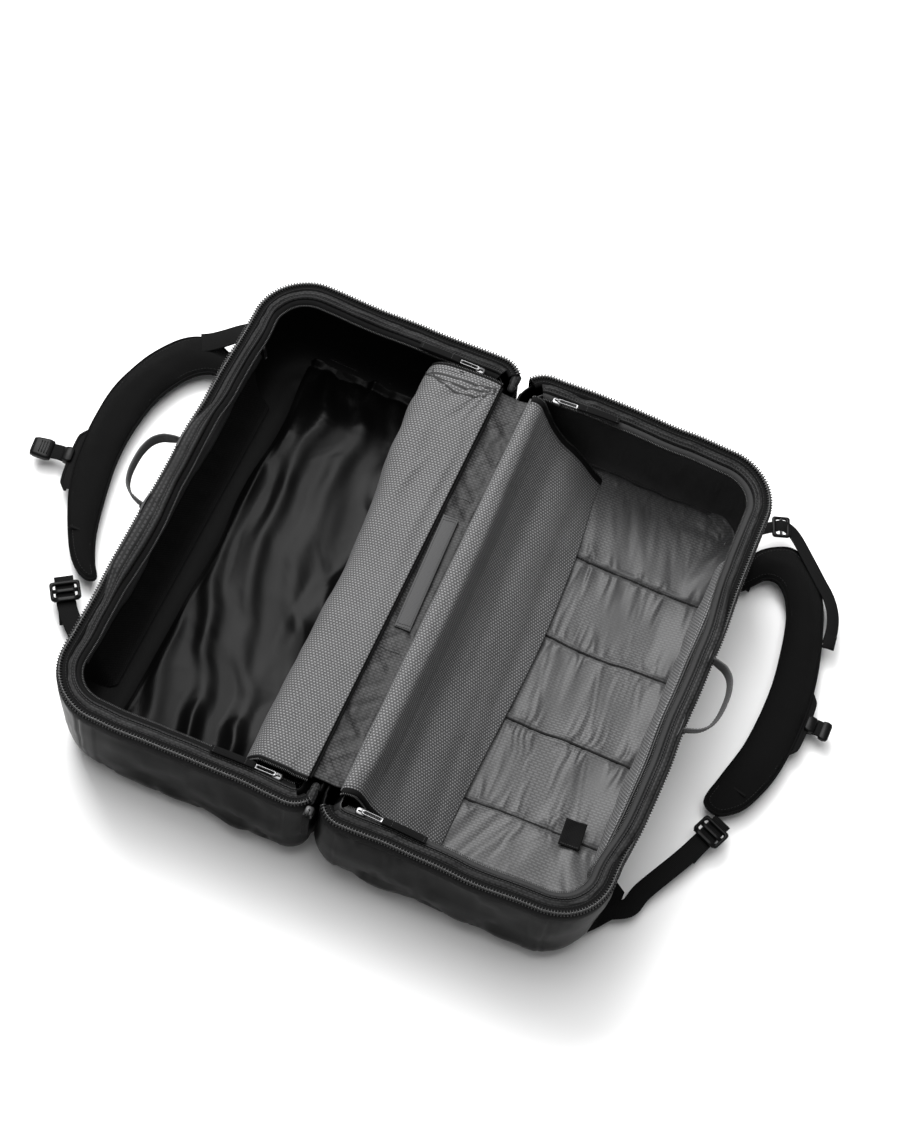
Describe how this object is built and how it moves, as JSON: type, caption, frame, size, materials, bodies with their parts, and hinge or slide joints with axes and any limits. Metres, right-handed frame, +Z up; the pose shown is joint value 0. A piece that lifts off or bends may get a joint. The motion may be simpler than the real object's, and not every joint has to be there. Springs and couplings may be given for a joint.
{
  "type": "travel backpack",
  "caption": "Clamshell travel backpack lying open: two fabric trays on a spine fold, mesh divider flaps, zips, grab loops and padded shoulder straps.",
  "frame": {"origin": "middle of the spine fold, on the floor the open bag rests on", "axes": "+X towards the right half, +Y along the spine towards the far end, +Z up out of the open trays"},
  "size_m": [0.964, 0.62, 0.1496],
  "materials": {
    "coated_shell": "matte coated tarpaulin",
    "black_lining": "smooth dark lining",
    "board_plastic": "stiffener sheet",
    "satin_black": "satin",
    "quilted_ripstop": "quilted grey ripstop",
    "grey_ripstop": "grey ripstop",
    "zip_tape": "woven zip tape",
    "zip_coil": "black coil",
    "light_mesh": "light grey mesh",
    "grey_mesh": "grey mesh",
    "black_mesh": "black mesh",
    "grey_webbing": "grey webbing",
    "strap_softshell": "padded black softshell",
    "black_webbing": "black webbing",
    "buckle_plastic": "moulded black acetal",
    "zip_metal": "satin silver"
  },
  "bodies": {
    "left_half": {"left_shell": "coated_shell", "left_base_board": "board_plastic", "left_lining": "black_lining", "left_satin_floor": "satin_black", "left_main_zip_tape": "zip_tape", "left_main_zip_coil": "zip_coil", "left_rim_collar": "grey_ripstop", "left_divider_zip_tape": "zip_tape", "left_wall_pocket": "black_mesh", "left_pocket_zip_tape": "zip_tape", "left_handle_tabs": "grey_webbing", "left_spine_panel": "grey_ripstop", "spine_handle": "grey_webbing", "far_zip_garage": "grey_ripstop", "near_zip_garage": "grey_ripstop", "main_zip_slider": "zip_metal"},
    "right_half": {"right_shell": "coated_shell", "right_base_board": "board_plastic", "right_lining": "black_lining", "right_quilted_floor": "quilted_ripstop", "right_main_zip_tape": "zip_tape", "right_main_zip_coil": "zip_coil", "right_rim_collar": "grey_ripstop", "right_divider_zip_tape": "zip_tape", "right_wall_pocket": "grey_mesh", "right_pocket_zip_tape": "zip_tape", "right_handle_tabs": "grey_webbing", "right_spine_panel": "grey_ripstop", "right_label_tab": "black_webbing"},
    "main_pull_tab": {"main_pull_tab": "black_webbing"},
    "left_divider_upper": {"left_divider_upper": "light_mesh"},
    "left_divider_lower": {"left_divider_lower": "light_mesh"},
    "left_grab_handle": {"left_grab_handle": "grey_webbing"},
    "left_strap": {"left_shoulder_strap": "strap_softshell", "left_strap_band": "black_webbing", "left_strap_webbing": "black_webbing", "left_strap_anchor": "black_webbing", "left_sternum_rail": "buckle_plastic"},
    "left_far_divider_slider": {"left_far_divider_slider": "zip_metal"},
    "left_far_divider_puller": {"left_far_divider_puller": "zip_metal"},
    "left_near_divider_slider": {"left_near_divider_slider": "zip_metal"},
    "left_near_divider_puller": {"left_near_divider_puller": "zip_metal"},
    "left_pocket_slider": {"left_pocket_slider": "zip_metal"},
    "right_divider_upper": {"right_divider_upper": "grey_mesh"},
    "right_divider_lower": {"right_divider_lower": "grey_mesh"},
    "right_grab_handle": {"right_grab_handle": "grey_webbing"},
    "right_strap": {"right_shoulder_strap": "strap_softshell", "right_strap_band": "black_webbing", "right_strap_webbing": "black_webbing", "right_strap_anchor": "black_webbing", "right_sternum_rail": "buckle_plastic"},
    "right_far_divider_slider": {"right_far_divider_slider": "zip_metal"},
    "right_far_divider_puller": {"right_far_divider_puller": "zip_metal"},
    "right_near_divider_slider": {"right_near_divider_slider": "zip_metal"},
    "right_near_divider_puller": {"right_near_divider_puller": "zip_metal"},
    "right_pocket_slider": {"right_pocket_slider": "zip_metal"},
    "left_ladder_lock": {"left_ladder_lock": "buckle_plastic"},
    "right_ladder_lock": {"right_ladder_lock": "buckle_plastic"},
    "left_sternum_clip": {"left_sternum_clip": "buckle_plastic"},
    "right_sternum_clip": {"right_sternum_clip": "buckle_plastic"}
  },
  "joints": [
    {"name": "clamshell_fold", "type": "hinge", "parent": "left_half", "child": "right_half", "pos_m": [0, 0, 0.15], "axis": [0, -1, 0], "range_deg": [0, 180]},
    {"name": "main_pull_tab_swing", "type": "hinge", "parent": "left_half", "child": "main_pull_tab", "pos_m": [-0.0032, -0.304, 0.1435], "axis": [1, 0, 0], "range_deg": [-90, 0]},
    {"name": "left_divider_lift", "type": "hinge", "parent": "left_half", "child": "left_divider_upper", "pos_m": [-0.0184, 0, 0.146], "axis": [0, -1, 0], "range_deg": [-100, 0]},
    {"name": "left_divider_unfold", "type": "hinge", "parent": "left_divider_upper", "child": "left_divider_lower", "pos_m": [-0.1004, 0, 0.0204], "axis": [0, -1, 0], "range_deg": [-97, 2]},
    {"name": "left_grab_handle_swing", "type": "hinge", "parent": "left_half", "child": "left_grab_handle", "pos_m": [-0.316, 0, 0.139], "axis": [0, -1, 0], "range_deg": [-80, 55]},
    {"name": "left_strap_swing", "type": "hinge", "parent": "left_half", "child": "left_strap", "pos_m": [-0.318, 0, 0.027], "axis": [0, -1, 0], "range_deg": [-65, 0]},
    {"name": "left_far_slider_travel", "type": "slide", "parent": "left_half", "child": "left_far_divider_slider", "axis": [1, 0, 0], "range_m": [-0.15, 0]},
    {"name": "left_far_puller_swing", "type": "hinge", "parent": "left_far_divider_slider", "child": "left_far_divider_puller", "pos_m": [-0.049, 0.274, 0.1452], "axis": [0, -1, 0], "range_deg": [-120, 0]},
    {"name": "left_near_slider_travel", "type": "slide", "parent": "left_half", "child": "left_near_divider_slider", "axis": [1, 0, 0], "range_m": [-0.15, 0]},
    {"name": "left_near_puller_swing", "type": "hinge", "parent": "left_near_divider_slider", "child": "left_near_divider_puller", "pos_m": [-0.049, -0.274, 0.1452], "axis": [0, -1, 0], "range_deg": [-120, 0]},
    {"name": "left_pocket_slider_travel", "type": "slide", "parent": "left_half", "child": "left_pocket_slider", "axis": [0, 1, 0], "range_m": [-0.4, 0]},
    {"name": "right_divider_lift", "type": "hinge", "parent": "right_half", "child": "right_divider_upper", "pos_m": [0.0184, 0, 0.1465], "axis": [0, 1, 0], "range_deg": [-140, 0]},
    {"name": "right_divider_unfold", "type": "hinge", "parent": "right_divider_upper", "child": "right_divider_lower", "pos_m": [0.12349, 0, 0.01669], "axis": [0, -1, 0], "range_deg": [-2, 172]},
    {"name": "right_grab_handle_swing", "type": "hinge", "parent": "right_half", "child": "right_grab_handle", "pos_m": [0.316, 0, 0.139], "axis": [0, 1, 0], "range_deg": [-80, 55]},
    {"name": "right_strap_swing", "type": "hinge", "parent": "right_half", "child": "right_strap", "pos_m": [0.318, 0, 0.027], "axis": [0, 1, 0], "range_deg": [-65, 0]},
    {"name": "right_far_slider_travel", "type": "slide", "parent": "right_half", "child": "right_far_divider_slider", "axis": [-1, 0, 0], "range_m": [-0.15, 0]},
    {"name": "right_far_puller_swing", "type": "hinge", "parent": "right_far_divider_slider", "child": "right_far_divider_puller", "pos_m": [0.045, 0.274, 0.1452], "axis": [0, 1, 0], "range_deg": [-120, 0]},
    {"name": "right_near_slider_travel", "type": "slide", "parent": "right_half", "child": "right_near_divider_slider", "axis": [-1, 0, 0], "range_m": [-0.15, 0]},
    {"name": "right_near_puller_swing", "type": "hinge", "parent": "right_near_divider_slider", "child": "right_near_divider_puller", "pos_m": [0.045, -0.274, 0.1452], "axis": [0, 1, 0], "range_deg": [-120, 0]},
    {"name": "right_pocket_slider_travel", "type": "slide", "parent": "right_half", "child": "right_pocket_slider", "axis": [0, 1, 0], "range_m": [-0.4, 0]},
    {"name": "left_ladder_lock_tilt", "type": "hinge", "parent": "left_strap", "child": "left_ladder_lock", "pos_m": [-0.38033, -0.11401, 0.0224], "axis": [-0.8321, -0.5547, 0], "range_deg": [0, 35]},
    {"name": "right_ladder_lock_tilt", "type": "hinge", "parent": "right_strap", "child": "right_ladder_lock", "pos_m": [0.38936, -0.07848, 0.0224], "axis": [-0.9191, 0.3939, 0], "range_deg": [0, 35]},
    {"name": "left_sternum_clip_travel", "type": "slide", "parent": "left_strap", "child": "left_sternum_clip", "axis": [0.1393, -0.9903, 0], "range_m": [-0.014, 0.018]},
    {"name": "right_sternum_clip_travel", "type": "slide", "parent": "right_strap", "child": "right_sternum_clip", "axis": [-0.0156, -0.9999, 0], "range_m": [-0.014, 0.018]}
  ],
  "couplings": [
    {"joint": "left_divider_unfold", "follows": "left_divider_lift", "ratio": 0.95},
    {"joint": "right_divider_unfold", "follows": "right_divider_lift", "ratio": -1.2143}
  ]
}
